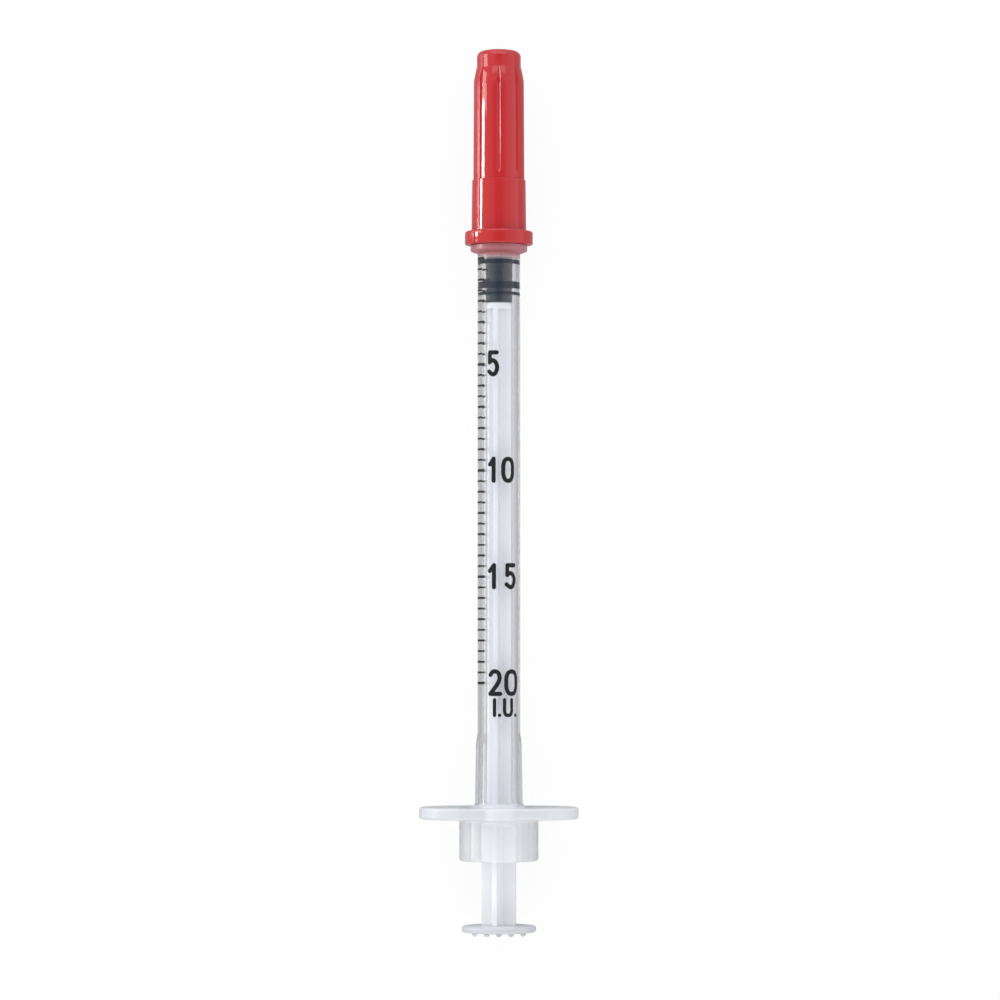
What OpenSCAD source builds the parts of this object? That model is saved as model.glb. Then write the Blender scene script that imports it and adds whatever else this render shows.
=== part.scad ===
// Insulin syringe with a fixed needle, capped, with its plunger fully in.
// Every module stands upright: the axis is +Z, the needle end is up and the flange's wide side runs along X.
// lay_down() then lays the part on its side, so that the needle points along +Y.
// The origin is where the axis meets the rear face of the finger flange.

/* [Bore and scale] */
// Bore diameter of the barrel
bore_d = 3.47; // [3.3:0.01:3.7]
// Distance from the zero mark to the last mark
scale_len = 53; // [44:1:60]
// Bore between the last mark and the rear face of the flange
bore_reserve = 16.95; // [12:0.05:24]
// Gap between the stopper and the front wall of the bore
dead_gap = 0.15; // [0.05:0.05:0.4]
// Clearance of the stopper's rings in the bore, on the radius
stopper_fit = 0.015; // [0.01:0.005:0.05]

/* [Barrel] */
// Wall of the tube
wall = 0.92; // [0.7:0.01:1.2]
// Front wall of the bore, up to the face that the cap meets
front_wall = 1.6; // [1.3:0.05:2.4]
// How far the shoulder ring stands out from the tube
shoulder_out = 0.9; // [0.6:0.05:1.2]
// Thickness of the shoulder ring at its edge
shoulder_t = 0.8; // [0.6:0.05:1]
// Extra wall of the thick stretch in front of the flange
flare_wall = 0.21; // [0.1:0.01:0.3]
// Length of the thick stretch
flare_len = 9.1; // [6:0.1:12]
// Radius of the fillet between the tube and the flange
root_fillet = 0.65; // [0.4:0.05:0.9]

/* [Finger flange and rear collar] */
// Width from wing tip to wing tip
flange_w = 19.9; // [17:0.1:24]
// How far the flange's long sides stand out past the rear collar
flange_side = 0.475; // [0.3:0.025:1]
// Thickness of the flange
flange_t = 1.5; // [1.2:0.1:2]
// Rounding of the flange's edges
flange_edge = 0.35; // [0.2:0.05:0.5]
// Outer diameter of the rear collar
collar_d = 9.85; // [9.6:0.05:10.1]
// Wall of the rear collar
collar_wall = 1; // [0.8:0.05:1.3]
// Length of the rear collar behind the flange
collar_len = 5.2; // [4:0.05:7]

/* [Nose and needle] */
// Diameter of the seat that grips the cap
seat_d = 4.5; // [4.2:0.05:4.6]
// Length of the seat
seat_len = 3.4; // [2.6:0.1:4]
// Length of the tapered nose in front of the seat
nose_len = 4.5; // [3.6:0.1:5]
// Nose diameter at its root
nose_root_d = 3.2; // [3:0.05:3.6]
// Nose diameter at its tip
nose_tip_d = 2.3; // [2.1:0.05:2.5]
// Number of fins on the nose
fin_count = 4; // [3:1:6]
// Thickness of a fin
fin_t = 0.5; // [0.4:0.05:0.7]
// Outer diameter of the needle
needle_d = 0.33; // [0.25:0.01:0.4]
// Bore diameter of the needle
needle_bore_d = 0.17; // [0.1:0.01:0.2]
// Needle length in front of the nose
needle_out = 12.7; // [8:0.1:12.7]
// Angle of the needle's bevel
bevel_angle = 12; // [10:1:20]

/* [Needle cap] */
// Room between the needle's tip and the end of the cap's bore
needle_room = 2.71; // [1.5:0.01:4]
// Diameter of the plain head
cap_head_d = 5.5; // [5.3:0.05:5.6]
// Diameter just under the head's shoulder
cap_top_d = 6.4; // [6.2:0.05:6.6]
// Diameter just above the rim
cap_base_d = 6.85; // [6.7:0.05:7.1]
// Diameter of the rim at the mouth
rim_d = 8.5; // [7.9:0.05:8.8]
// Height of the rim
rim_t = 1.7; // [1.2:0.05:2.2]
// Number of grooves round the cap
groove_count = 8; // [6:1:12]
// Depth of a groove
groove_depth = 0.2; // [0.1:0.05:0.3]
// Plain length between the mouth and the grooves
groove_start = 8.1; // [6:0.1:9]
// Step from the plain length down to the grooved part
grip_step = 0.08; // [0.04:0.02:0.14]
// Clearance of the cap on its seat, on the radius
cap_fit = 0.03; // [0.02:0.01:0.08]

/* [Plunger] */
// Clearance of the ribbed shaft in the bore, on the radius
shaft_gap = 0.185; // [0.12:0.005:0.3]
// Diameter of the ribbed part behind the flange
grip_d = 4.4; // [4.1:0.1:5]
// Length of that part, from the flange to the thumb disc
grip_len = 13.25; // [10:0.25:20]
// Thickness of the cross's ribs
rib_t = 0.6; // [0.5:0.05:0.8]
// Diameter of the core where the ribs meet
core_d = 1.4; // [1.2:0.05:1.7]
// How far the rod is turned about its axis
rod_turn = 15; // [0:1:45]
// Diameter of the thumb disc
disc_d = 9.3; // [8.5:0.1:9.5]
// Thickness of the thumb disc
disc_t = 0.8; // [0.6:0.05:1.2]
// Distance from one grip rib to the next
grip_pitch = 1.5; // [1.2:0.05:1.55]
// Width of a grip rib
grip_rib_w = 0.75; // [0.5:0.05:0.9]
// How far the grip ribs are turned against the cross
grip_rib_turn = 15; // [0:1:45]

/* [Stopper] */
// Overall length of the stopper
stopper_len = 5.4; // [5:0.1:6.5]
// How far the stopper stays off the bore between its rings
waist_gap = 0.06; // [0.04:0.01:0.2]
// Length of the front ring
front_ring = 0.65; // [0.5:0.05:0.8]
// Length of the wide rear ring
rear_ring = 0.9; // [0.7:0.05:1]
// Length of the narrow last ring
last_ring = 0.4; // [0.3:0.05:0.5]
// Length of the rod's head inside the stopper
head_len = 2.6; // [2.2:0.1:3]
// Largest diameter of the rod's head
head_d = 1.9; // [1.6:0.05:2.1]
// Diameter of the neck behind the head
neck_d = 1.2; // [1:0.05:1.4]
// Clearance between the rod's head and the stopper
head_fit = 0.03; // [0.02:0.01:0.06]

/* [Hidden] */
$fn = 96;

// How far every cut runs past the face that it opens
overrun = 0.5;

// Stations along the axis, from the rear to the front
zero_mark_z = bore_reserve + scale_len;
bore_end_z = zero_mark_z + dead_gap;
shoulder_z = bore_end_z + front_wall;
seat_end_z = shoulder_z + seat_len;
nose_end_z = seat_end_z + nose_len;
needle_tip_z = nose_end_z + needle_out;

// Radii of the barrel
bore_r = bore_d / 2;
tube_r = bore_r + wall;
flare_r = tube_r + flare_wall;
root_r = flare_r + flare_wall / 2;
shoulder_r = tube_r + shoulder_out;
shoulder_slope = shoulder_out / 3;
shoulder_edge = shoulder_t / 8;
lead_in = wall * 0.35;

// The flare is a short cone at the front of the thick stretch
flare_top_z = flange_t + flare_len;
flare_cone = flare_len * 0.15;

// The collar is open at the rear and its lip is rounded
collar_r = collar_d / 2;
collar_bore_r = collar_r - collar_wall;
lip_round = collar_wall * 0.38;
flange_depth = collar_d + 2 * flange_side;

// Channel for the needle, the glue well round it and the step in the front wall
needle_r = needle_d / 2;
needle_channel_r = needle_r + needle_d * 0.08;
needle_start_z = bore_end_z + front_wall * 0.25;
well_depth = nose_len * 0.7;
well_mouth_r = nose_tip_d * 0.32;
well_floor_r = nose_tip_d * 0.22;
meniscus = needle_d * 0.7;
seat_edge = seat_len * 0.06;
bevel_len = needle_d / tan(bevel_angle);

// The cap's mouth stops just short of the shoulder
cap_seat_gap = cap_fit;
cap_mouth_z = shoulder_z + cap_seat_gap;
cap_head_r = cap_head_d / 2;
cap_top_r = cap_top_d / 2;
cap_base_r = cap_base_d / 2;
rim_r = rim_d / 2;
rim_edge = rim_t * 0.16;
cap_corner = cap_head_d * 0.15;
cap_head_len = cap_head_d * 0.4;
cap_shoulder_len = cap_head_d * 0.52;
cap_wall = cap_head_d * 0.16;
cap_bore_top_z = needle_tip_z - cap_mouth_z + needle_room;
cap_len = cap_bore_top_z + cap_wall * 1.5;
cap_shoulder_z = cap_len - cap_head_len;
cap_top_z = cap_shoulder_z - cap_shoulder_len;
crown_angle = 12;
crown_r = cap_corner + (cap_head_r - cap_corner) / sin(crown_angle);
corner_z = cap_len - crown_r * (1 - cos(crown_angle)) - cap_corner * cos(crown_angle);
curve_steps = 8;

// A groove's edge runs out at its lower end, follows the taper, and starts at the head's shoulder
groove_low_r = cap_r_at(groove_start) - grip_step;
groove_run = groove_depth * 6;
groove_low_z = groove_start + groove_run;
groove_slope = (groove_low_r - cap_top_r) / (cap_top_z - groove_low_z);
groove_reach = groove_depth * 3;

// The bore of the cap: a seat that grips the nose, then a taper over the fins and the needle
cap_seat_r = seat_d / 2 + cap_fit;
cap_seat_depth = seat_len + cap_seat_gap * 2;
cap_bore_r = cap_seat_r * 0.93;
cap_bore_tip_r = cap_head_r - cap_wall;
cap_step = cap_seat_r - cap_bore_r;
fin_r = cap_bore_r - 3 * cap_fit;
mouth_bevel = cap_wall * 0.35;

// Stopper and rod, front to rear
stopper_z = zero_mark_z;
stopper_rear_z = stopper_z - stopper_len;
ring_r = bore_r - stopper_fit;
waist_r = bore_r - waist_gap;
ring_gap = last_ring;
rear_waist = stopper_len * 0.16;
rear_ring_z = stopper_rear_z + rear_waist + last_ring + ring_gap;
rear_lip = last_ring / 4;
head_z = stopper_rear_z + head_len;
head_r = head_d / 2;
neck_r = neck_d / 2;
neck_len = head_len * 0.3;
head_nose_r = neck_r * 0.8;

// The push plate bears on the stopper, and the stop plate meets the flange
shaft_d = bore_d - 2 * shaft_gap;
push_plate_t = shaft_d * 0.28;
push_plate_z = stopper_rear_z - head_fit - push_plate_t;
push_plate_edge = push_plate_t * 0.3;
stop_gap = dead_gap * 2;
stop_plate_t = rib_t;
stop_plate_z = -stop_gap - stop_plate_t;
disc_front_z = -grip_len;
disc_rear_z = disc_front_z - disc_t;
disc_r = disc_d / 2;
grip_rib_h = grip_rib_w / 2;
grip_rib_reach = disc_r - disc_t / 2;
grip_ribs = floor((2 * (disc_r - disc_t * 1.2) - grip_rib_w) / grip_pitch) + 1;

module lay_down() {
    rotate([-90, 0, 0])
        children();
}

// Half profile of a ring or disc whose outer edge is rounded, from z_low to z_high
module rounded_rim(radius, z_low, z_high, edge) {
    translate([0, z_low])
        square([radius - edge, z_high - z_low]);
    translate([0, z_low + edge])
        square([radius, z_high - z_low - 2 * edge]);
    for (z = [z_low + edge, z_high - edge])
        translate([radius - edge, z])
            circle(edge);
}

// Bar of length len along X with a rounded cross-section, depth along Y and height along Z from zero
module rounded_bar(len, depth, height, edge) {
    translate([-len / 2, 0, 0])
        rotate([90, 0, 90])
            linear_extrude(len)
                union() {
                    translate([-depth / 2 + edge, 0])
                        square([depth - 2 * edge, height]);
                    translate([-depth / 2, edge])
                        square([depth, height - 2 * edge]);
                    for (side = [-1, 1])
                        for (z = [edge, height - edge])
                            translate([side * (depth / 2 - edge), z])
                                circle(edge);
                }
}

// Section of the ribbed rod: four ribs on a core, rounded to the rod's diameter
module cross_section(diameter) {
    intersection() {
        union() {
            square([diameter, rib_t], center = true);
            square([rib_t, diameter], center = true);
            circle(d = core_d);
        }
        circle(d = diameter);
    }
}

module finger_flange() {
    wing_x = (flange_w - flange_depth) / 2;
    rounded_bar(2 * wing_x, flange_depth, flange_t, flange_edge);
    for (side = [-1, 1])
        translate([side * wing_x, 0, 0])
            rotate_extrude()
                rounded_rim(flange_depth / 2, 0, flange_t, flange_edge);
}

// Tube with its flare, the shoulder ring and the cap's seat, as one half profile
module barrel_outside() {
    rotate_extrude()
        union() {
            polygon([
                [0, flange_t / 2],
                [root_r, flange_t / 2],
                [root_r, flange_t + root_fillet],
                [flare_r, flare_top_z - flare_cone],
                [tube_r, flare_top_z],
                [tube_r, shoulder_z - shoulder_t - shoulder_slope],
                [shoulder_r - shoulder_edge, shoulder_z - shoulder_t],
                [shoulder_r, shoulder_z - shoulder_t + shoulder_edge],
                [shoulder_r, shoulder_z - shoulder_edge],
                [shoulder_r - shoulder_edge, shoulder_z],
                [seat_d / 2, shoulder_z],
                [seat_d / 2, seat_end_z - seat_edge],
                [seat_d / 2 - seat_edge, seat_end_z],
                [nose_root_d / 2, seat_end_z],
                [nose_tip_d / 2, nose_end_z],
                [0, nose_end_z]
            ]);
            root_fillet_profile();
        }
}

// Concave corner between the thick stretch and the flange
module root_fillet_profile() {
    difference() {
        translate([bore_r, flange_t - flange_edge])
            square([root_r - bore_r + root_fillet, root_fillet + flange_edge]);
        translate([root_r + root_fillet, flange_t + root_fillet])
            circle(root_fillet);
    }
}

// Fins that stiffen the nose, from the seat down to the nose's tip
module nose_fins() {
    for (i = [0 : fin_count - 1])
        rotate(i * 360 / fin_count)
            rotate([90, 0, 0])
                translate([0, 0, -fin_t / 2])
                    linear_extrude(fin_t)
                        polygon([
                            [nose_root_d / 4, seat_end_z - seat_len / 2],
                            [fin_r, seat_end_z - seat_len / 2],
                            [fin_r, seat_end_z + nose_len * 0.2],
                            [nose_tip_d / 2, seat_end_z + nose_len * 0.85],
                            [nose_root_d / 4, seat_end_z + nose_len * 0.85]
                        ]);
}

module rear_collar() {
    rotate_extrude()
        union() {
            translate([collar_bore_r, -collar_len + lip_round])
                square([collar_wall, collar_len - lip_round + flange_t / 2]);
            translate([collar_bore_r + lip_round, -collar_len])
                square([collar_wall - 2 * lip_round, collar_len]);
            for (r = [collar_bore_r + lip_round, collar_r - lip_round])
                translate([r, -collar_len + lip_round])
                    circle(lip_round);
        }
}

// Bore with its lead-in at the rear, and the needle's channel and glue well at the front
module barrel_inside() {
    rotate_extrude()
        polygon([
            [0, -overrun],
            [bore_r + lead_in + overrun, -overrun],
            [bore_r, lead_in],
            [bore_r, bore_end_z],
            [needle_channel_r, bore_end_z],
            [needle_channel_r, nose_end_z - well_depth],
            [well_floor_r, nose_end_z - well_depth],
            [well_mouth_r, nose_end_z],
            [well_mouth_r, nose_end_z + overrun],
            [0, nose_end_z + overrun]
        ]);
}

module barrel() {
    color([0.86, 0.88, 0.92, 0.45])
        lay_down()
            difference() {
                union() {
                    barrel_outside();
                    finger_flange();
                    nose_fins();
                    rear_collar();
                }
                barrel_inside();
            }
}

// Steel tube with a slanted tip: the cutter is a block tilted by the bevel's angle
module needle() {
    color([0.76, 0.77, 0.79])
        lay_down()
            difference() {
                translate([0, 0, needle_start_z])
                    cylinder(h = needle_tip_z - needle_start_z, r = needle_r);
                translate([0, 0, needle_start_z - overrun])
                    cylinder(h = needle_tip_z - needle_start_z + 2 * overrun, d = needle_bore_d);
                translate([0, needle_r, needle_tip_z])
                    rotate([-bevel_angle, 0, 0])
                        translate([-needle_d, -bevel_len, -2 * bevel_len])
                            cube([2 * needle_d, bevel_len, 4 * bevel_len]);
            }
}

// Plug of glue in the well, with a low crown round the needle
module needle_adhesive() {
    color([0.85, 0.86, 0.78, 0.8])
        lay_down()
            rotate_extrude()
                polygon([
                    [needle_r, nose_end_z - well_depth],
                    [well_floor_r, nose_end_z - well_depth],
                    [well_mouth_r, nose_end_z],
                    [(well_mouth_r + needle_r) / 2, nose_end_z + meniscus / 2],
                    [needle_r, nose_end_z + meniscus]
                ]);
}

// Radius of the cap's tapered outside at a height above its mouth
function cap_r_at(z) = cap_base_r + (cap_top_r - cap_base_r) * (z - rim_t) / (cap_top_z - rim_t);

// Radius on the cap's shoulder, from the head at 0 to the grooved part at 1
function shoulder_r_at(share) = cap_head_r + (cap_top_r - cap_head_r) * sin(90 * share);

module cap_outside() {
    rotate_extrude()
        polygon(concat(
            [
                for (i = [0 : curve_steps - 1])
                    let (a = crown_angle * i / curve_steps)
                        [crown_r * sin(a), cap_len - crown_r * (1 - cos(a))]
            ],
            [
                for (i = [0 : curve_steps])
                    let (a = crown_angle + (90 - crown_angle) * i / curve_steps)
                        [cap_head_r - cap_corner + cap_corner * sin(a), corner_z + cap_corner * cos(a)]
            ],
            [
                for (i = [0 : curve_steps])
                    [shoulder_r_at(i / curve_steps), cap_shoulder_z - cap_shoulder_len * i / curve_steps]
            ],
            [
                [groove_low_r, groove_start + grip_step],
                [groove_low_r + grip_step, groove_start],
                [cap_base_r, rim_t],
                [rim_r - rim_edge, rim_t],
                [rim_r, rim_t - rim_edge],
                [rim_r, rim_edge / 2],
                [rim_r - rim_edge / 2, 0],
                [0, 0]
            ]
        ));
}

// V-shaped bar whose edge runs from one radius and height to another, and which opens outwards
module groove_bar(r_low, z_low, r_high, z_high) {
    translate([r_low, 0, z_low])
        rotate([0, -atan((r_low - r_high) / (z_high - z_low)), 0])
            linear_extrude(norm([r_low - r_high, z_high - z_low]))
                polygon([[0, 0], [groove_reach, -groove_reach], [groove_reach, groove_reach]]);
}

// One groove: its run-out, its long stretch and the steeper end on the head's shoulder
module groove() {
    edge_r = cap_top_r - groove_depth;
    groove_bar(
        groove_low_r + grip_step,
        groove_start + grip_step,
        groove_low_r - groove_depth,
        groove_low_z
    );
    groove_bar(
        groove_low_r - groove_depth,
        groove_low_z,
        edge_r - groove_slope * cap_shoulder_len,
        cap_shoulder_z
    );
    groove_bar(edge_r, cap_top_z, cap_head_r, cap_shoulder_z);
}

module cap_grooves() {
    for (i = [0 : groove_count - 1])
        rotate(i * 360 / groove_count - 90)
            groove();
}

module cap_inside() {
    rotate_extrude()
        polygon([
            [0, -overrun],
            [cap_seat_r + mouth_bevel, -overrun],
            [cap_seat_r + mouth_bevel, 0],
            [cap_seat_r, mouth_bevel],
            [cap_seat_r, cap_seat_depth],
            [cap_bore_r, cap_seat_depth + cap_step],
            [cap_bore_tip_r, cap_bore_top_z - cap_bore_tip_r / 2],
            [cap_bore_tip_r / 2, cap_bore_top_z],
            [0, cap_bore_top_z]
        ]);
}

module needle_cap() {
    color([0.79, 0.2, 0.22])
        lay_down()
            translate([0, 0, cap_mouth_z])
                difference() {
                    cap_outside();
                    cap_grooves();
                    cap_inside();
                }
}

// Rubber piston: a front ring, a long waist, a wide and a narrow ring, and a rear waist with a lip
module stopper() {
    color([0.24, 0.28, 0.33])
        lay_down()
            difference() {
                rotate_extrude()
                    union() {
                        translate([0, stopper_rear_z])
                            square([waist_r, stopper_len]);
                        rounded_rim(ring_r, stopper_z - front_ring, stopper_z, front_ring / 5);
                        rounded_rim(ring_r, rear_ring_z, rear_ring_z + rear_ring, rear_ring / 5);
                        rounded_rim(
                            ring_r,
                            rear_ring_z - ring_gap - last_ring,
                            rear_ring_z - ring_gap,
                            last_ring / 3
                        );
                        translate([0, stopper_rear_z])
                            square([(waist_r + ring_r) / 2, rear_lip]);
                    }
                stopper_socket();
            }
}

// Half profile of the rod's head, swollen by a clearance
module head_profile(gap) {
    polygon([
        [0, stopper_rear_z - overrun],
        [neck_r + gap, stopper_rear_z - overrun],
        [neck_r + gap, stopper_rear_z + neck_len - gap],
        [head_r + gap, stopper_rear_z + neck_len - gap],
        [head_r + gap, stopper_rear_z + neck_len * 1.4],
        [head_nose_r + gap, head_z + gap],
        [0, head_z + gap]
    ]);
}

module stopper_socket() {
    rotate_extrude()
        head_profile(head_fit);
}

// Push plate and stop plate, with the ribbed shaft between them
module rod_front() {
    rotate_extrude()
        union() {
            head_profile(0);
            rounded_rim(shaft_d / 2, push_plate_z, push_plate_z + push_plate_t, push_plate_edge);
        }
    translate([0, 0, stop_plate_z])
        linear_extrude(push_plate_z + push_plate_t / 2 - stop_plate_z)
            cross_section(shaft_d);
}

// Wide ribbed part behind the flange, with the stop plate at its front
module rod_grip() {
    translate([0, 0, stop_plate_z])
        cylinder(h = stop_plate_t, d = grip_d);
    translate([0, 0, disc_front_z - disc_t / 2])
        linear_extrude(stop_plate_z + stop_plate_t / 2 - disc_front_z + disc_t / 2)
            cross_section(grip_d);
}

module thumb_disc() {
    rotate_extrude()
        rounded_rim(disc_r, disc_rear_z, disc_front_z, disc_t * 0.45);
    intersection() {
        translate([0, 0, disc_rear_z - grip_rib_h])
            cylinder(h = grip_rib_h + disc_t / 2, r = grip_rib_reach);
        rotate(grip_rib_turn)
            for (i = [0 : grip_ribs - 1])
                translate([(i - (grip_ribs - 1) / 2) * grip_pitch, 0, disc_rear_z])
                    grip_rib();
    }
}

// One grip rib: a half-round bar along Y on the disc's rear face
module grip_rib() {
    rotate([90, 0, 0])
        translate([0, 0, -disc_r])
            linear_extrude(disc_d)
                circle(r = grip_rib_h);
}

module plunger_rod() {
    color([0.92, 0.92, 0.95])
        lay_down()
            rotate(-rod_turn)
                union() {
                    rod_front();
                    rod_grip();
                    thumb_disc();
                }
}

barrel();
needle();
needle_adhesive();
needle_cap();
stopper();
plunger_rod();
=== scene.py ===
import math

import bmesh
import bpy
from mathutils import Matrix, Vector


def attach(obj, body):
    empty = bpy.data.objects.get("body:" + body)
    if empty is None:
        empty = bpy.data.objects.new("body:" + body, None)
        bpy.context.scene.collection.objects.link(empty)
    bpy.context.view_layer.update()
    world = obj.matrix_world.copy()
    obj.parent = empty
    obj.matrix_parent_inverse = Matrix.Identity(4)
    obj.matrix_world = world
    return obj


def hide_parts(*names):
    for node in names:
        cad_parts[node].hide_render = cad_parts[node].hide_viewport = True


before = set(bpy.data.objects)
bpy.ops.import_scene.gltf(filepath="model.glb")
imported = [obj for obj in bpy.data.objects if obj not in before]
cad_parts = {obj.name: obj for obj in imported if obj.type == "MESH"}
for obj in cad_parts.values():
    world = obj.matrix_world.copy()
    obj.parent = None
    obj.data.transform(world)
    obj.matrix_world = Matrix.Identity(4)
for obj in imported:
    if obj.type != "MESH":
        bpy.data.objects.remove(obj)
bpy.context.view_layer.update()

# Lengths of the syringe are given in millimetres and become metres here
MM = 0.001

# Segments round the barrel's axis
ROUND = 128

# Points of a mesh that are closer than this become one
MERGE = 0.0004

# Barrel
BORE_R = 1.735
TUBE_R = 2.655
BORE_END = 70.1
SHOULDER = 71.7
SHOULDER_R = 3.555
SEAT_R = 2.25
SEAT_END = 75.1
NOSE_END = 79.6
FLANGE_T = 1.5
FLANGE_SIDE = 5.4
WING_X = 4.55
COLLAR_R = 4.925
COLLAR_BORE_R = 3.925
COLLAR_END = -5.2
FIN_T = 0.5

# Scale: its zero mark, the distance from one unit to the next, and how many there are
ZERO_MARK = 69.95
UNIT = 2.65
UNITS = 20

# How far the ink stands off the wall, and reaches into it
INK_T = 0.006

# Needle cap, with heights from its mouth
MOUTH = 71.73
CAP_LEN = 24.6
RIM_R = 4.25
RIM_T = 1.7
GRIP_START = 8.1
GRIP_END = 19.54
HEAD_START = 22.4
HEAD_R = 2.75
GRIP_TOP_R = 3.203
GROOVES = 8

# Plunger rod
ROD_TURN = math.radians(15)
SHAFT_R = 1.55
GRIP_R = 2.2
GRIP_FRONT = -0.6
DISC_R = 4.65
DISC_FRONT = -13.25
DISC_REAR = -14.05


# Modelling

def nothing_selected():
    """Leave edit mode and deselect every object."""
    if bpy.context.mode != "OBJECT":
        bpy.ops.object.mode_set(mode="OBJECT")
    bpy.ops.object.select_all(action="DESELECT")


def hold(piece):
    """Select one piece alone, so that operators act on it."""
    nothing_selected()
    piece.select_set(True)
    bpy.context.view_layer.objects.active = piece


def open_mesh(piece, kind="VERT", everything=False):
    """Go into edit mode with nothing selected, or with everything."""
    hold(piece)
    bpy.ops.object.mode_set(mode="EDIT")
    bpy.ops.mesh.select_mode(type=kind)
    bpy.ops.mesh.select_all(action="SELECT" if everything else "DESELECT")


def pick_edges(piece, rule):
    """Select the edges of the open mesh whose two ends, in mm, pass the rule."""
    mesh = bmesh.from_edit_mesh(piece.data)
    for edge in mesh.edges:
        one, other = (vert.co / MM for vert in edge.verts)
        edge.select_set(rule(one, other))
    mesh.select_flush_mode()
    bmesh.update_edit_mesh(piece.data)


def close_mesh(smooth=30):
    """Merge doubles, turn every face outwards, leave edit mode and smooth all but the sharp edges."""
    bpy.ops.mesh.select_all(action="SELECT")
    bpy.ops.mesh.remove_doubles(threshold=MERGE * MM)
    bpy.ops.mesh.normals_make_consistent(inside=False)
    bpy.ops.object.mode_set(mode="OBJECT")
    bpy.ops.object.shade_smooth_by_angle(angle=math.radians(smooth))


def start_drawing(name, place):
    """Start a mesh with one point, at a place in mm, that is ready to be extruded."""
    nothing_selected()
    bpy.ops.mesh.primitive_plane_add(size=MM, location=(0, 0, 0))
    piece = bpy.context.object
    piece.name = name
    piece.data.name = name
    bpy.ops.object.mode_set(mode="EDIT")
    bpy.ops.mesh.select_mode(type="VERT")
    bpy.ops.mesh.select_all(action="SELECT")
    bpy.ops.mesh.merge(type="CENTER")
    bpy.ops.transform.translate(value=Vector(place) * MM)
    return piece


def draw_on(points):
    """Extrude the selected point from each place in mm to the next."""
    for here, there in zip(points, points[1:]):
        step = (Vector(there) - Vector(here)) * MM
        bpy.ops.mesh.extrude_region_move(TRANSFORM_OT_translate={"value": step})


def extrude_by(*step):
    """Extrude what is selected by a step in mm."""
    bpy.ops.mesh.extrude_region_move(
        TRANSFORM_OT_translate={"value": [part * MM for part in step]})


def copy_by(*step):
    """Copy what is selected in the mesh, and leave the copy selected, a step in mm away."""
    bpy.ops.mesh.duplicate_move(TRANSFORM_OT_translate={"value": [part * MM for part in step]})


def filled(name, loop):
    """A flat face inside a loop of places in mm, left selected and ready to be extruded."""
    piece = start_drawing(name, loop[0])
    draw_on(loop)
    bpy.ops.mesh.select_all(action="SELECT")
    bpy.ops.mesh.edge_face_add()
    return piece


def rounded(corners, closed=True, turn=12):
    """The points of an outline whose corners may name a radius as their third number."""
    points = []
    for index, corner in enumerate(corners):
        here = Vector(corner[:2])
        radius = corner[2] if len(corner) > 2 else 0
        if not radius or (not closed and index in (0, len(corners) - 1)):
            points.append(here)
            continue
        back = (Vector(corners[index - 1][:2]) - here).normalized()
        ahead = (Vector(corners[(index + 1) % len(corners)][:2]) - here).normalized()
        half = back.angle(ahead) / 2
        middle = here + (back + ahead).normalized() * radius / math.sin(half)
        arm = here + back * radius / math.tan(half) - middle
        sweep = math.pi - 2 * half
        side = 1 if back.x * ahead.y - back.y * ahead.x < 0 else -1
        count = max(2, math.ceil(math.degrees(sweep) / turn))
        for step in range(count + 1):
            angle = side * sweep * step / count
            spun = Vector((
                arm.x * math.cos(angle) - arm.y * math.sin(angle),
                arm.x * math.sin(angle) + arm.y * math.cos(angle),
            ))
            points.append(middle + spun)
    return points


def turned(name, corners, steps=ROUND, closed=True, lift=0):
    """A piece turned on the barrel's axis from its half outline of (radius, height) in mm."""
    outline = [(point[0], point[1] + lift, 0) for point in rounded(corners, closed)]
    piece = start_drawing(name, outline[0])
    draw_on(outline + outline[:1] if closed else outline)
    bpy.ops.mesh.select_all(action="SELECT")
    bpy.ops.mesh.spin(steps=steps, angle=math.tau, center=(0, 0, 0), axis=(0, 1, 0))
    close_mesh()
    return piece


def extruded(name, outline, low, high):
    """A bar along the axis, from its cross-section of (x, z) points in mm."""
    piece = filled(name, [(point[0], low, point[1]) for point in outline])
    extrude_by(0, high - low, 0)
    close_mesh()
    return piece


def joined(pieces, name):
    """Several pieces as one object, with no cut or merge between them."""
    nothing_selected()
    for piece in pieces:
        piece.select_set(True)
    bpy.context.view_layer.objects.active = pieces[0]
    bpy.ops.object.join()
    whole = bpy.context.object
    whole.name = name
    whole.data.name = name
    return whole


def combine(piece, tool, operation):
    """Join a tool to the piece, or cut or trim the piece with it, and apply that."""
    hold(piece)
    bpy.ops.object.modifier_add(type="BOOLEAN")
    change = piece.modifiers[-1]
    change.operation = operation
    change.object = tool
    change.solver = "EXACT"
    bpy.ops.object.modifier_apply(modifier=change.name)
    bpy.data.objects.remove(tool)
    return piece


def tidy(piece, smooth=30):
    """Clean a piece after its joins and cuts, and let its large faces lead the smooth shading."""
    open_mesh(piece, everything=True)
    close_mesh(smooth)
    hold(piece)
    bpy.ops.object.modifier_add(type="WEIGHTED_NORMAL")
    shading = piece.modifiers[-1]
    shading.keep_sharp = True
    shading.weight = 80
    bpy.ops.object.modifier_apply(modifier=shading.name)
    return piece


def soften(piece, rule, width, segments):
    """Round the edges that a rule picks, by a width in mm."""
    open_mesh(piece, "EDGE")
    pick_edges(piece, rule)
    bpy.ops.mesh.bevel(offset=width * MM, segments=segments, affect="EDGES", clamp_overlap=True)
    close_mesh()
    return piece


def spread_round(piece, count):
    """Copy everything in the mesh round the axis until there are count of it."""
    open_mesh(piece, everything=True)
    for _ in range(count - 1):
        bpy.ops.mesh.duplicate_move()
        bpy.ops.transform.rotate(
            value=math.tau / count, orient_axis="Y", center_override=(0, 0, 0))
    close_mesh()
    return piece


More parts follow.
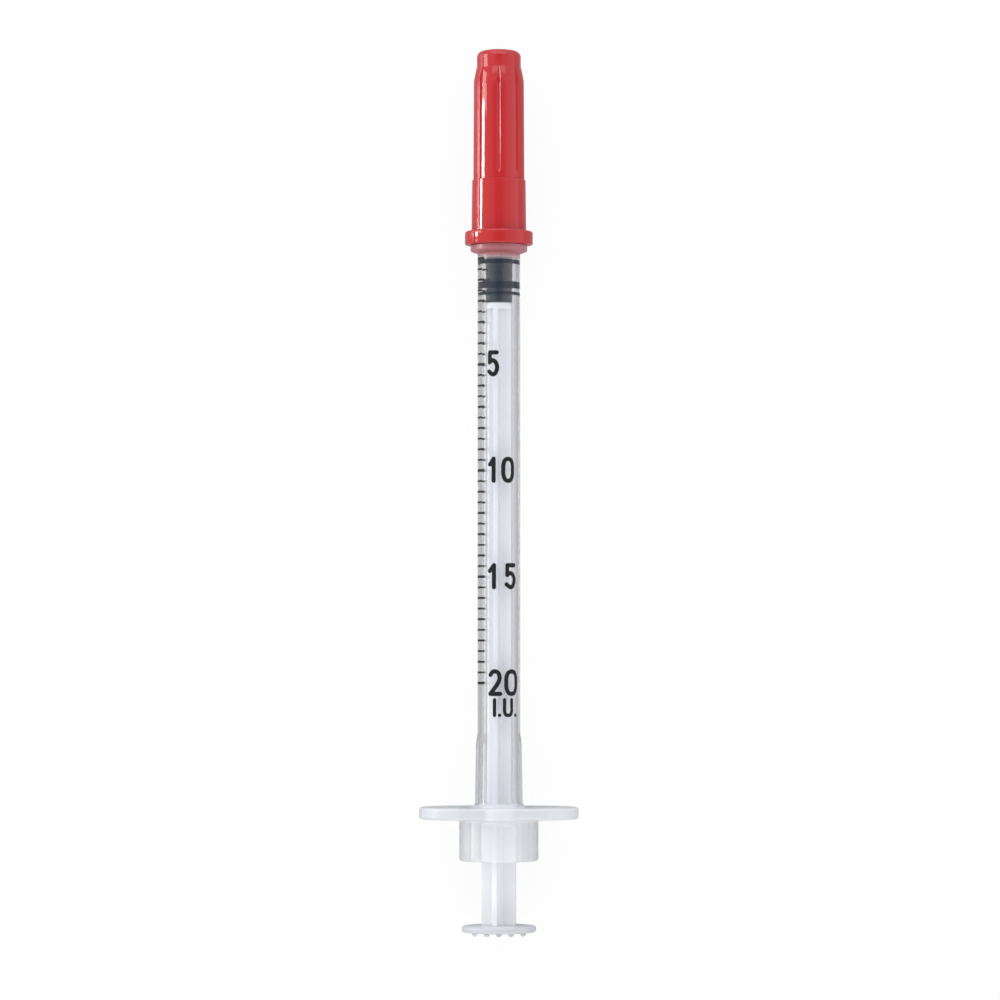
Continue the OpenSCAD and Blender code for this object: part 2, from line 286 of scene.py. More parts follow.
def spin_point(point, turn=ROD_TURN):
    """A point of the rod's cross-section after a turn about the axis, the rod's own if none is given."""
    across, up = point
    return (
        across * math.cos(turn) - up * math.sin(turn),
        across * math.sin(turn) + up * math.cos(turn),
    )


# Materials

class Wire:
    """A value in a material's tree. Arithmetic on it adds Math nodes."""

    def __init__(self, finish, socket):
        self.finish = finish
        self.socket = socket

    def math(self, operation, first, second):
        return self.finish.node("ShaderNodeMath", {"operation": operation}, {0: first, 1: second})

    def __add__(self, other):
        return self.math("ADD", self, other)

    __radd__ = __add__

    def __sub__(self, other):
        return self.math("SUBTRACT", self, other)

    def __rsub__(self, other):
        return self.math("SUBTRACT", other, self)

    def __mul__(self, other):
        return self.math("MULTIPLY", self, other)

    __rmul__ = __mul__

    def __truediv__(self, other):
        return self.math("DIVIDE", self, other)

    def __rtruediv__(self, other):
        return self.math("DIVIDE", other, self)


class Finish:
    """One material, or the world, while its nodes are wired."""

    def __init__(self, name, world=None):
        self.material = world or bpy.data.materials.new(name)
        self.material.use_nodes = True
        self.tree = self.material.node_tree
        self.tree.nodes.clear()

    def node(self, kind, settings=None, sockets=None, output=0):
        """Add a node: first its settings, then the values or wires of its sockets."""
        made = self.tree.nodes.new(kind)
        for key, value in (settings or {}).items():
            if key == "stops":
                stops = made.color_ramp.elements
                while len(stops) < len(value):
                    stops.new(1)
                for stop, (position, colour) in zip(stops, value):
                    stop.position = position
                    stop.color = colour
            else:
                setattr(made, key, value)
        for key, value in (sockets or {}).items():
            if isinstance(value, Wire):
                self.tree.links.new(value.socket, made.inputs[key])
            else:
                made.inputs[key].default_value = value
        return Wire(self, made.outputs[output]) if made.outputs else None

    def place(self, stretch=(1, 1, 1)):
        """Where a point lies on the object, in metres, with each axis stretched."""
        spot = self.node("ShaderNodeTexCoord", output="Object")
        return self.node("ShaderNodeMapping", {}, {"Vector": spot, "Scale": stretch})

    def noise(self, scale, detail, stretch=(1, 1, 1)):
        """Cloudy variation between 0 and 1, with scale in features per metre."""
        return self.node(
            "ShaderNodeTexNoise", {}, {"Vector": self.place(stretch), "Scale": scale, "Detail": detail})

    def ramp(self, wire, *stops):
        """Values between stops of (position, value)."""
        grey = [(position, (value, value, value, 1)) for position, value in stops]
        return self.node("ShaderNodeValToRGB", {"stops": grey}, {"Fac": wire})

    def between(self, low, high, amount):
        """Two numbers mixed by an amount."""
        return amount * (high - low) + low

    def tint(self, one, other, amount):
        """Two colours mixed by an amount."""
        return self.node(
            "ShaderNodeMix", {"data_type": "RGBA"}, {0: amount, 6: one, 7: other}, output=2)

    def relief(self, height, depth, strength):
        """A normal from a height between 0 and 1 that stands for a depth in mm."""
        return self.node(
            "ShaderNodeBump", {}, {"Height": height, "Distance": depth * MM, "Strength": strength})

    def plastic(self, sockets):
        """Finish with the main surface shader."""
        surface = self.node("ShaderNodeBsdfPrincipled", {}, sockets)
        self.node("ShaderNodeOutputMaterial", {}, {"Surface": surface})
        return self.material


# How milky the clear moulding looks at heights along the barrel, in mm: thick stretches scatter more
MILKINESS = [
    (-5.4, 0.3), (-5.0, 0.22), (-0.3, 0.25), (0.05, 0.6), (1.45, 0.6), (1.9, 0.08), (10, 0.012),
    (69.9, 0.01), (70.4, 0.5), (72.6, 0.5), (73.4, 0.05),
]

# Haze of its surface at the same heights: the shoulder ring and the flange have a satin finish
HAZE = [
    (-5.4, 0.08), (-0.3, 0.08), (0.05, 0.22), (1.45, 0.22), (1.9, 0.05), (10, 0.03),
    (69.8, 0.03), (70.3, 0.3), (72.6, 0.34), (73.4, 0.1),
]

# Painted reflection: how strongly its milky part is painted pink at the same heights, standing in for red
# light from the cap
PAINTED_CAP_REFLECTION = [(69.9, 0), (70.5, 0.9), (72.8, 1), (73.8, 0.6), (78, 0.2)]

# Where its colours turn whiter: the collar. Partly real, as its thin wall soaks up hardly any light, and
# partly painted light that makes it look brighter
PAINTED_COLLAR_LIGHT = [(-5.4, 1), (-0.3, 1), (0.1, 0)]

# Where the rod's white turns grey: the thumb disc, whose thin edge looks greyer. This grey is painted
# shade
PAINTED_DISC_SHADE = [(-13.35, 1), (-13.0, 0)]


def along(finish, height, table):
    """A value read at a height in metres from a table of (height in mm, value)."""
    low, high = table[0][0], table[-1][0]
    stops = [((y - low) / (high - low), value) for y, value in table]
    return finish.ramp((height / MM - low) / (high - low), *stops)


def clear_plastic():
    """Polished clear moulding: faint flow lines, a little haze, and milky where it is thick. Its milky
    part is painted pink near the cap as a painted reflection, and the collar is painted whiter, partly as
    painted light.
    """
    finish = Finish("clear_plastic")
    haze = finish.noise(900, 3)
    flow = finish.noise(700, 2, (1, 0.05, 1))
    cloud = finish.noise(1600, 3)
    relief = finish.relief(flow, 0.003, 0.4)
    height = finish.node("ShaderNodeSeparateXYZ", {}, {"Vector": finish.place()}, output="Y")
    # Share of the collar's whiter colours, partly painted light
    thin = along(finish, height, PAINTED_COLLAR_LIGHT)
    clear = finish.node("ShaderNodeBsdfPrincipled", {}, {
        "Base Color": finish.tint((0.96, 0.965, 0.98, 1), (1, 1, 1, 1), thin),
        "Transmission Weight": 1.0,
        "IOR": 1.49,
        "Roughness": along(finish, height, HAZE) * finish.between(0.7, 1.3, haze),
        "Normal": relief,
    })
    pale = finish.tint((0.82, 0.84, 0.88, 1), (0.87, 0.88, 0.91, 1), cloud)
    # The milky colour is painted whiter on the collar: painted light
    pale = finish.tint(pale, (0.95, 0.955, 0.965, 1), thin)
    milky = finish.node("ShaderNodeBsdfPrincipled", {}, {
        # The milky part is painted pink near the cap: a painted reflection of the red cap's light
        "Base Color": finish.tint(pale, (0.62, 0.12, 0.15, 1), along(finish, height, PAINTED_CAP_REFLECTION)),
        "Transmission Weight": 0.15,
        "IOR": 1.49,
        "Roughness": finish.between(0.18, 0.3, haze),
        "Normal": relief,
    })
    shadow = finish.node("ShaderNodeLightPath", output="Is Shadow Ray")
    bounce = finish.node("ShaderNodeLightPath", output="Is Diffuse Ray")
    let_through = finish.node("ShaderNodeBsdfTransparent", {}, {"Color": (0.93, 0.935, 0.95, 1)})
    open_clear = finish.node("ShaderNodeMixShader", {}, {0: shadow + bounce, 1: clear, 2: let_through})
    mixed = finish.node(
        "ShaderNodeMixShader", {}, {0: along(finish, height, MILKINESS), 1: open_clear, 2: milky})
    finish.node("ShaderNodeOutputMaterial", {}, {"Surface": mixed})
    return finish.material


def red_plastic():
    """Glossy opaque red moulding with a faint swirl in its colour."""
    finish = Finish("red_plastic")
    swirl = finish.noise(350, 4, (1, 0.3, 1))
    cloud = finish.noise(1500, 3)
    sheen = finish.noise(2600, 4)
    return finish.plastic({
        "Base Color": finish.tint((0.43, 0.012, 0.015, 1), (0.48, 0.018, 0.021, 1), swirl),
        "IOR": 1.5,
        "Roughness": finish.between(0.02, 0.035, cloud),
        "Normal": finish.relief(sheen, 0.0002, 0.2),
    })


def dark_rubber():
    """Smooth siliconised rubber: fine mottling, soft shine."""
    finish = Finish("dark_rubber")
    mottle = finish.noise(2500, 4)
    grain = finish.noise(14000, 3)
    smear = finish.noise(600, 3, (1, 0.4, 1))
    return finish.plastic({
        "Base Color": finish.tint((0.002, 0.009, 0.017, 1), (0.008, 0.02, 0.034, 1), mottle),
        "IOR": 1.33,
        "Specular IOR Level": 0.22,
        "Roughness": finish.between(0.52, 0.7, smear),
        "Normal": finish.relief(grain, 0.004, 0.6),
    })


def white_plastic():
    """Satin white moulding that lets a little light through, with painted shade on the thumb disc."""
    finish = Finish("white_plastic")
    cloud = finish.noise(500, 4)
    sheen = finish.noise(3000, 4)
    fine = finish.noise(9000, 3)
    height = finish.node("ShaderNodeSeparateXYZ", {}, {"Vector": finish.place()}, output="Y")
    pale = finish.tint((0.8, 0.802, 0.825, 1), (0.84, 0.84, 0.855, 1), cloud)
    # The thumb disc is painted grey: painted shade
    return finish.plastic({
        "Base Color": finish.tint(pale, (0.54, 0.55, 0.58, 1), along(finish, height, PAINTED_DISC_SHADE)),
        "IOR": 1.49,
        "Roughness": finish.between(0.24, 0.4, sheen),
        "Subsurface Weight": 0.25,
        "Subsurface Radius": (1.0, 0.95, 0.9),
        "Subsurface Scale": 0.0006,
        "Normal": finish.relief(fine, 0.002, 0.5),
    })


def black_ink():
    """Printed ink: nearly even black with tiny thin spots."""
    finish = Finish("black_ink")
    spots = finish.noise(9000, 3)
    thin = finish.ramp(spots, (0.3, 1), (0.42, 0))
    return finish.plastic({
        "Base Color": finish.tint((0.004, 0.004, 0.005, 1), (0.03, 0.03, 0.033, 1), thin),
        "IOR": 1.34,
        "Roughness": finish.between(0.4, 0.6, spots),
        "Normal": finish.relief(spots, 0.002, 0.5),
    })


def needle_steel():
    """Drawn stainless tube with fine lines along it."""
    finish = Finish("needle_steel")
    lines = finish.noise(16000, 3, (1, 0.02, 1))
    cloud = finish.noise(1200, 3)
    return finish.plastic({
        "Base Color": finish.tint((0.58, 0.585, 0.6, 1), (0.72, 0.72, 0.735, 1), cloud),
        "Metallic": 1.0,
        "Roughness": finish.between(0.14, 0.3, lines),
        "Normal": finish.relief(lines, 0.001, 0.5),
    })


def cured_glue():
    """Clear glue with a yellow cast, cloudy inside."""
    finish = Finish("cured_glue")
    cloud = finish.noise(2600, 4)
    return finish.plastic({
        "Base Color": finish.tint((0.86, 0.86, 0.74, 1), (0.93, 0.93, 0.86, 1), cloud),
        "Transmission Weight": 0.55,
        "IOR": 1.5,
        "Roughness": finish.between(0.1, 0.3, cloud),
        "Normal": finish.relief(cloud, 0.01, 0.5),
    })


# The barrel with its flange, collar, shoulder and nose

def barrel_outside():
    """Tube with its flare, shoulder ring, cap seat and tapered nose."""
    return turned("barrel_moulding", [
        (0, FLANGE_T / 2),
        (3.9, FLANGE_T / 2),
        (3.9, FLANGE_T),
        (2.978, FLANGE_T, 0.65),
        (2.865, 9.235, 2),
        (TUBE_R, 10.6, 2),
        (TUBE_R, 70.6, 0.1),
        (3.455, 70.9, 0.12),
        (SHOULDER_R, 71.0, 0.05),
        (SHOULDER_R, SHOULDER, 0.12),
        (SEAT_R, SHOULDER, 0.05),
        (SEAT_R, 74.896, 0.1),
        (2.046, SEAT_END, 0.05),
        (1.6, SEAT_END, 0.1),
        (1.15, NOSE_END, 0.12),
        (0, NOSE_END),
    ], closed=False)


def finger_flange():
    """Slab with half-round wing ends and rounded edges."""
    outline = []
    steps = 48
    for side in (1, -1):
        for step in range(steps + 1):
            angle = side * (math.pi / 2 - math.pi * step / steps)
            outline.append((side * WING_X + FLANGE_SIDE * side * abs(math.cos(angle)),
                            FLANGE_SIDE * math.sin(angle)))
    piece = extruded("finger_flange", outline, 0, FLANGE_T)
    return soften(piece, lambda one, other: abs(one.y - other.y) < 0.01, 0.35, 5)


def rear_collar():
    """Ring behind the flange with a rounded lip."""
    return turned("rear_collar", [
        (COLLAR_BORE_R, FLANGE_T / 2),
        (COLLAR_BORE_R, COLLAR_END, 0.38),
        (COLLAR_R, COLLAR_END, 0.38),
        (COLLAR_R, 0.02, 0.12),
        (5.2, 0.02),
        (5.2, FLANGE_T / 2),
    ])


def nose_fin_plate():
    """One plate through the nose, which shows as two of its four fins."""
    half = [(1.985, 73.4), (1.985, 76.0), (1.1, 78.9)]
    outline = half + [(-x, y) for x, y in reversed(half)]
    piece = filled("nose_fins", [(x, y, -FIN_T / 2) for x, y in outline])
    extrude_by(0, 0, FIN_T)
    close_mesh()
    return soften(piece, lambda one, other: abs(one.z - other.z) < 0.01, 0.06, 1)


def barrel_bore():
    """The hollow: lead-in, bore, needle channel and glue well."""
    channel, well = 0.1914, 0.736
    return turned("barrel_bore", [
        (0, -1),
        (3.06, -1),
        (2.057, 0.002),
        (BORE_R, 0.322),
        (BORE_R, BORE_END, 0.12),
        (channel, BORE_END),
        (channel, 76.45),
        (0.506, 76.45),
        (well, NOSE_END),
        (well, NOSE_END + 1),
        (0, NOSE_END + 1),
    ], closed=False)


def clear_barrel():
    """The whole clear moulding in one piece."""
    barrel = barrel_outside()
    barrel.name = "clear_barrel"
    combine(barrel, finger_flange(), "UNION")
    combine(barrel, rear_collar(), "UNION")
    for turn in (0, 90):
        plate = nose_fin_plate()
        open_mesh(plate, everything=True)
        bpy.ops.transform.rotate(
            value=math.radians(turn), orient_axis="Y", center_override=(0, 0, 0))
        close_mesh()
        combine(barrel, plate, "UNION")
    combine(barrel, barrel_bore(), "DIFFERENCE")
    return tidy(barrel, 32)


# The printed scale

def scale_tick(name, start, end, height):
    """One closed film of ink round the left of the tube, between two angles from the top."""
    low, high = TUBE_R - INK_T, TUBE_R + INK_T
    corners = [(low, -height / 2), (high, -height / 2), (high, height / 2), (low, height / 2)]
    lean = math.radians(start)
    piece = filled(name, [(-r * math.sin(lean), y, r * math.cos(lean)) for r, y in corners])
    bpy.ops.mesh.select_all(action="SELECT")
    bpy.ops.mesh.spin(
        steps=14, angle=math.radians(end - start), center=(0, 0, 0), axis=(0, 1, 0))
    close_mesh()
    return piece


def scale_marks():
    """All the ticks of the scale: half units, units, and a thicker one at every fifth unit."""
    kinds = [
        (scale_tick("half_tick", 52, 97, 0.24), [step + 0.5 for step in range(UNITS)]),
        (scale_tick("unit_tick", 43, 97, 0.26), [step for step in range(UNITS + 1) if step % 5]),
        (scale_tick("fifth_tick", 43, 97, 0.34), list(range(0, UNITS + 1, 5))),
    ]
    for piece, places in kinds:
        open_mesh(piece, everything=True)
        bpy.ops.transform.translate(value=(0, (ZERO_MARK - UNIT * places[0]) * MM, 0))
        for here, there in zip(places, places[1:]):
            copy_by(0, (here - there) * UNIT, 0)
        close_mesh()
    return joined([piece for piece, _ in kinds], "scale_marks")


def smooth_line(points):
    """A smooth line through points, which keeps its two ends."""
    line = []
    steps = 7
    for index in range(len(points) - 1):
        p1, p2 = Vector(points[index]), Vector(points[index + 1])
        p0 = Vector(points[index - 1]) if index else p1
        p3 = Vector(points[index + 2]) if index + 2 < len(points) else p2
        for step in range(steps):
            t = step / steps
            line.append(0.5 * (
                2 * p1 + (p2 - p0) * t
                + (2 * p0 - 5 * p1 + 4 * p2 - p3) * t * t
                + (3 * p1 - p0 - 3 * p2 + p3) * t ** 3))
    return line + [Vector(points[-1])]


# Strokes of each figure on a field one wide and one high; a stroke of more than two points is smooth
FIGURES = {
    "0": [[(0.5, 1), (0.83, 0.93), (1, 0.7), (1, 0.5), (1, 0.3), (0.83, 0.07), (0.5, 0),
           (0.17, 0.07), (0, 0.3), (0, 0.5), (0, 0.7), (0.17, 0.93), (0.5, 1)]],
    "1": [[(0.0, 0.74), (0.36, 0.84), (0.85, 1.0)], [(0.85, 1.0), (0.85, 0.0)]],
    "2": [[(0.02, 0.84), (0.2, 0.96), (0.48, 1.0), (0.8, 0.93), (0.93, 0.76), (0.86, 0.56), (0.55, 0.32),
           (0.0, 0.0)], [(0.0, 0.0), (1, 0.0)]],
    "5": [[(0.95, 1), (0.12, 1)], [(0.12, 1), (0.1, 0.55)],
          [(0.1, 0.55), (0.35, 0.64), (0.7, 0.6), (0.95, 0.44), (0.98, 0.26), (0.78, 0.06), (0.45, 0.0),
           (0.02, 0.13)]],
    "I": [[(0.5, 1), (0.5, 0)]],
    "U": [[(0, 1), (0, 0.6), (0, 0.24), (0.2, 0.03), (0.5, 0), (0.8, 0.03), (1, 0.24), (1, 0.6), (1, 1)]],
    ".": [[(0.4, 0.0), (0.6, 0.0)]],
}


def figure_stroke(points, width):
    """One round-ended stroke along points of (x, z) in mm, as a tube."""
    cuts = 8
    line = smooth_line(points) if len(points) > 2 else [
        Vector(points[0]).lerp(Vector(points[1]), step / cuts) for step in range(cuts + 1)]
    loop = [(point.x, 0, point.y) for point in line]
    stroke = start_drawing("stroke", loop[0])
    draw_on(loop)
    bpy.ops.object.mode_set(mode="OBJECT")
    bpy.ops.object.convert(target="CURVE")
    stroke = bpy.context.object
    stroke.data.bevel_depth = width / 2 * MM
    stroke.data.bevel_resolution = 4
    stroke.data.use_fill_caps = True
    bpy.ops.object.convert(target="MESH")
    return bpy.context.object


def round_end(place, width):
    """A small ball that rounds the end of a stroke."""
    nothing_selected()
    bpy.ops.mesh.primitive_uv_sphere_add(
        segments=16, ring_count=10, radius=width / 2 * MM, location=Vector((place[0], 0, place[1])) * MM)
    bpy.ops.object.transform_apply(location=True, rotation=False, scale=False)
    return bpy.context.object


def printed_figure(sign, left, low, across, high, width):
    """All the strokes of one figure, from its place and size in mm, as tubes and round ends."""
    pieces = []
    for stroke in FIGURES[sign]:
        line = [(left + x * across, low + z * high) for x, z in stroke]
        pieces.append(figure_stroke(line, width))
        for place in (line[0], line[-1]):
            pieces.append(round_end(place, width))
    return pieces


# Figures of the scale: sign, left edge and width along the tube's surface, middle height, height, stroke
PRINT = [
    ("5", -1.56, 1.62, 56.74, 3.27, 0.54),
    ("1", -1.43, 1.12, 43.49, 3.29, 0.54),
    ("0", 0.29, 1.81, 43.49, 3.29, 0.54),
    ("1", -1.45, 1.2, 30.24, 3.27, 0.54),
    ("5", 0.68, 1.72, 30.24, 3.27, 0.54),
    ("2", -1.37, 1.81, 17.02, 3.34, 0.54),
    ("0", 0.68, 2.02, 17.02, 3.34, 0.54),
    ("I", -0.74, 0.38, 13.92, 2.36, 0.44),
    (".", -0.11, 0.4, 13.92, 2.36, 0.44),
    ("U", 0.5, 1.42, 13.92, 2.36, 0.44),
    (".", 2.13, 0.4, 13.92, 2.36, 0.44),
]


def scale_figures():
    """The numbers of the scale and its unit, drawn flat and then wrapped round the tube."""
    pieces = []
    for sign, left, across, middle, high, width in PRINT:
        pieces += printed_figure(
            sign, left + width / 2, middle - high / 2 + width / 2, across - width, high - width, width)
    figures = joined(pieces, "scale_figures")
    open_mesh(figures, everything=True)
    flatness = 0.04
    bpy.ops.transform.resize(value=(1, flatness, 1), center_override=(0, 0, 0))
    bpy.ops.object.mode_set(mode="OBJECT")
    extent = max(v.co.x for v in figures.data.vertices) - min(v.co.x for v in figures.data.vertices)
    bpy.ops.object.modifier_add(type="SIMPLE_DEFORM")
    wrap = figures.modifiers[-1]
    wrap.deform_method = "BEND"
    wrap.deform_axis = "Z"
    wrap.angle = extent / (TUBE_R * MM)
    bpy.ops.object.modifier_apply(modifier=wrap.name)
    open_mesh(figures, everything=True)
    bpy.ops.transform.translate(value=(0, -TUBE_R * MM, 0))
    bpy.ops.transform.rotate(
        value=math.radians(90), orient_axis="X", center_override=(0, 0, 0))
    close_mesh(40)
    return figures


# The needle cap

def cap_shoulder():
    """Points on the curve from the head down to the grooved part."""
    points = []
    steps = 10
    for step in range(steps + 1):
        share = step / steps
        radius = HEAD_R + (GRIP_TOP_R - HEAD_R) * math.sin(math.pi / 2 * share)
        points.append((radius, HEAD_START + (GRIP_END - HEAD_START) * share))
    return points


def cap_grip():
    """Upper part of the cap: grooved length, shoulder, head and crown, still solid."""
    dome = 10.084
    edge = 0.825
    crown = [(dome * math.sin(math.radians(a)), CAP_LEN - dome * (1 - math.cos(math.radians(a))))
             for a in (0, 3, 6, 9)]
    corner = [(HEAD_R - edge + edge * math.sin(math.radians(a)), 23.573 + edge * math.cos(math.radians(a)))
              for a in range(12, 91, 6)]
    outline = crown + corner + cap_shoulder() + [(3.268, GRIP_START + 0.04), (3.268, 7.4), (0, 7.4)]
    return turned("cap_grip", outline, 192, closed=False, lift=MOUTH)


def cap_lobes():
    """Bar whose eight sides swell in soft waves, to trim the grip with."""
    outline = []
    steps = 24
    width = 360 / GROOVES
    middle_r, swell = 3.234, 0.031
    for lobe in range(GROOVES):
        for step in range(steps):
            off = math.radians(width * (step + 0.5) / steps - width / 2)
            angle = math.radians(width * (lobe + 0.5)) + off
            radius = middle_r + swell * math.cos(GROOVES * off)
            outline.append((radius * math.cos(angle), radius * math.sin(angle)))
    overrun = 0.9
    piece = filled("cap_lobes", [(x, MOUTH + GRIP_START - overrun, z) for x, z in outline])
    rings = 14
    length = GRIP_END - GRIP_START + overrun
    shrink = (GRIP_TOP_R / (middle_r + swell)) ** (1 / rings)
    for _ in range(rings):
        extrude_by(0, length / rings, 0)
        bpy.ops.transform.resize(value=(shrink, 1, shrink), center_override=(0, 0, 0))
    extrude_by(0, 6, 0)
    close_mesh()
    return piece


def cap_groove_cutters():
    """Eight V-shaped bars that follow the grip's taper and run out at both ends."""
    stations = [(3.344, 8.18), (3.064, 9.3), (3.0, GRIP_END), (HEAD_R, HEAD_START)]
    radius, height = stations[0]
    wall = [(0.01, 0.03), (0.08, 0.13), (0.15, 0.212), (0.6, 0.63)]
    corners = [(radius + out, -side) for out, side in wall] + [
        (radius + out, side) for out, side in reversed(wall)]
    piece = filled("cap_grooves", [(x, MOUTH + height, z) for x, z in corners])
    for (r0, y0), (r1, y1) in zip(stations, stations[1:]):
        extrude_by(r1 - r0, y1 - y0, 0)
    close_mesh()
    return spread_round(piece, GROOVES)


def cap_skirt():
    """Plain lower part of the cap with the rim at its mouth, still solid."""
    return turned("cap_skirt", [
        (0, 0),
        (RIM_R, 0, 0.2),
        (RIM_R, RIM_T, 0.27),
        (3.425, RIM_T, 0.12),
        (3.344, GRIP_START, 0.03),
        (3.24, GRIP_START + 0.09),
        (3.0, GRIP_START + 0.09),
        (0, GRIP_START + 0.09),
    ], 192, closed=False, lift=MOUTH)


def cap_bore():
    """The hollow of the cap: mouth bevel, seat, step and taper."""
    return turned("cap_bore", [
        (0, -1),
        (3.588, -1),
        (2.28, 0.308, 0.1),
        (2.28, 3.46, 0.1),
        (2.12, 3.62, 0.1),
        (1.87, 22.345, 0.3),
        (0.935, 23.28, 0.3),
        (0, 23.28),
    ], closed=False, lift=MOUTH)


def red_cap():
    """The whole needle cap."""
    cap = cap_grip()
    cap.name = "red_cap"
    combine(cap, cap_lobes(), "INTERSECT")
    combine(cap, cap_groove_cutters(), "DIFFERENCE")
    combine(cap, cap_skirt(), "UNION")
    combine(cap, cap_bore(), "DIFFERENCE")
    return tidy(cap, 28)


# The stopper

def rubber_stopper():
    """Rubber piston with a front ring, two rear rings and a socket for the rod's head."""
    squeeze = 0.008
    ring = BORE_R + squeeze
    waist = 1.7
    return tidy(turned("rubber_stopper", [
        (0, 69.95),
        (ring, 69.95, 0.13),
        (ring, 69.3, 0.13),
        (waist, 69.26, 0.04),
        (waist, 67.16, 0.04),
        (ring, 67.114, 0.16),
        (ring, 66.214, 0.16),
        (1.6, 66.1, 0.05),
        (1.6, 65.93, 0.05),
        (ring, 65.814, 0.12),
        (ring, 65.414, 0.12),
        (1.66, 65.3, 0.05),
        (1.66, 64.68, 0.02),
        (1.7, 64.66, 0.02),
        (1.7, 64.55, 0.04),
        (0.63, 64.55, 0.05),
        (0.63, 65.3),
        (0.98, 65.3),
        (0.98, 65.66),
        (0.51, 67.18),
        (0, 67.18),
    ], closed=False))


# The plunger rod

def cross_outline(radius):
    """Cross-section of the ribbed rod, turned as the rod is."""
    core, half_rib = 0.7, 0.3
    reach = math.sqrt(radius ** 2 - half_rib ** 2)
    root = math.sqrt(core ** 2 - half_rib ** 2)
    outline = []
    for arm in range(4):
        side = [(root, -half_rib, 0.1), (reach, -half_rib, 0.07), (reach, half_rib, 0.07),
                (root, half_rib, 0.1)]
        waist = [(core * math.cos(a), core * math.sin(a)) for a in (math.radians(40), math.radians(50))]
        for corner in side + waist:
            spun = spin_point(corner[:2], math.pi / 2 * arm)
            outline.append((*spun, *corner[2:]))
    return [spin_point(point) for point in rounded(outline, turn=20)]


def rod_front():
    """Push plate with the neck and head that sit in the stopper."""
    return turned("rod_front", [
        (0, 63.652),
        (SHAFT_R, 63.652, 0.24),
        (SHAFT_R, 64.52, 0.24),
        (0.6, 64.52, 0.05),
        (0.6, 65.33, 0.02),
        (0.95, 65.33, 0.04),
        (0.95, 65.642, 0.1),
        (0.48, 67.15, 0.08),
        (0, 67.15),
    ], 96, closed=False)


def stop_plate():
    """Round plate where the grip meets the flange."""
    return turned("stop_plate", [
        (0, -0.9),
        (GRIP_R, -0.9, 0.1),
        (GRIP_R, -0.3, 0.1),
        (0, -0.3),
    ], 96, closed=False)


def thumb_disc():
    """Disc with a rounded edge."""
    return turned("thumb_disc", [
        (0, DISC_FRONT),
        (0.62, DISC_FRONT),
        (DISC_R, DISC_FRONT, 0.34),
        (DISC_R, DISC_REAR, 0.34),
        (0, DISC_REAR),
    ], closed=False)


def disc_ribs():
    """Five half-round bars across the disc's rear face, trimmed to a circle."""
    radius, pitch, count, half_length, reach = 0.375, 1.5, 5, 4.6, 4.25
    section = [(radius * math.cos(math.radians(a)), radius * math.sin(math.radians(a)))
               for a in range(0, 360, 15)]
    first = -pitch * (count - 1) / 2
    piece = filled(
        "disc_ribs", [(first + across, DISC_REAR + back, -half_length) for across, back in section])
    extrude_by(0, 0, 2 * half_length)
    bpy.ops.mesh.select_all(action="SELECT")
    for _ in range(count - 1):
        copy_by(pitch, 0, 0)
    close_mesh()
    trim = turned("disc_trim", [
        (0, DISC_FRONT - 0.3), (reach, DISC_FRONT - 0.3), (reach, DISC_REAR - 1), (0, DISC_REAR - 1),
    ], closed=False)
    return combine(piece, trim, "INTERSECT")


def white_rod():
    """The whole plunger rod."""
    rod = extruded("white_rod", cross_outline(SHAFT_R), GRIP_FRONT, 64)
    combine(rod, rod_front(), "UNION")
    combine(rod, extruded("rod_grip", cross_outline(GRIP_R), -13.6, GRIP_FRONT), "UNION")
    combine(rod, stop_plate(), "UNION")
    combine(rod, thumb_disc(), "UNION")
    combine(rod, disc_ribs(), "UNION")
    return tidy(rod, 32)


# Camera, floor and light

CAMERA_PLACE = (0.00014, 0.0223, 0.524)
CAMERA_AIM_Y = 0.0398

def photo_camera():
    """Camera over the lying syringe, a little towards its rear, with the needle end up."""
    data = bpy.data.cameras.new("camera")
    data.sensor_width = 36
    data.lens = 151
    data.clip_start = 0.01
    data.clip_end = 10
    camera = bpy.data.objects.new("camera", data)
    camera.location = CAMERA_PLACE
    camera.rotation_euler = (math.atan2(CAMERA_AIM_Y - CAMERA_PLACE[1], CAMERA_PLACE[2]), 0, 0)
    bpy.context.scene.collection.objects.link(camera)
    bpy.context.scene.camera = camera


def studio_floor():
    """Wide white floor under the syringe. The lens sees it almost white, with a faint shadow."""
    nothing_selected()
    bpy.ops.mesh.primitive_plane_add(size=6, location=(0, 0.04, 0))
    floor = bpy.context.object
    floor.name = "studio_floor"
    bpy.ops.object.mode_set(mode="EDIT")
    bpy.ops.mesh.select_all(action="SELECT")
    bpy.ops.transform.translate(value=(0, 0, -FLANGE_SIDE * MM))
    bpy.ops.object.mode_set(mode="OBJECT")
    bpy.ops.object.transform_apply(location=True, rotation=False, scale=False)
    finish = Finish("floor_board")
    rays = finish.node("ShaderNodeLightPath", output="Is Camera Ray")
    through = finish.node("ShaderNodeLightPath", output="Is Transmission Ray")
    glossy = finish.node("ShaderNodeLightPath", output="Is Glossy Ray")
    grain = finish.noise(300, 2)
    board = finish.node("ShaderNodeBsdfPrincipled", {}, {
        "Base Color": finish.tint((0.36, 0.36, 0.365, 1), (0.95, 0.95, 0.95, 1), rays),
        "Roughness": finish.between(0.26, 0.31, grain),
        "IOR": 2.6,
    })
    glow = finish.node("ShaderNodeEmission", {}, {"Color": (1, 1, 1, 1), "Strength": 1.0})
    share = rays * 0.92 + through * 0.05 + glossy * 0.05
    mixed = finish.node("ShaderNodeMixShader", {}, {0: share, 1: board, 2: glow})
    finish.node("ShaderNodeOutputMaterial", {}, {"Surface": mixed})
    floor.data.materials.append(finish.material)


